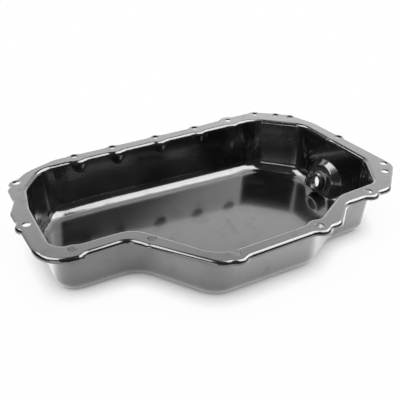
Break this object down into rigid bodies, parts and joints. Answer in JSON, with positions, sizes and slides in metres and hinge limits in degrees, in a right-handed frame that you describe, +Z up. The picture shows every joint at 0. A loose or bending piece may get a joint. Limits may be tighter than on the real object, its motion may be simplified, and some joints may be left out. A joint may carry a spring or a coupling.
{
  "type": "engine oil pan",
  "caption": "Deep-drawn sheet steel oil pan with a stepped plan, a bolt flange with ears, bolt-head pockets and a leaning drain face with a threaded weld nut.",
  "frame": {"origin": "middle of the footprint, at the lowest point of the floor", "axes": "+X along the straight back row of bolts towards the drain, +Y from the stepped front side to the straight back side, +Z up out of the mouth, square to the flange"},
  "size_m": [0.3798, 0.2628, 0.0627],
  "materials": {
    "pan": "gloss black",
    "drain_nut": "gloss black"
  },
  "bodies": {
    "root": {"pan": "pan", "drain_nut": "drain_nut"}
  },
  "joints": []
}
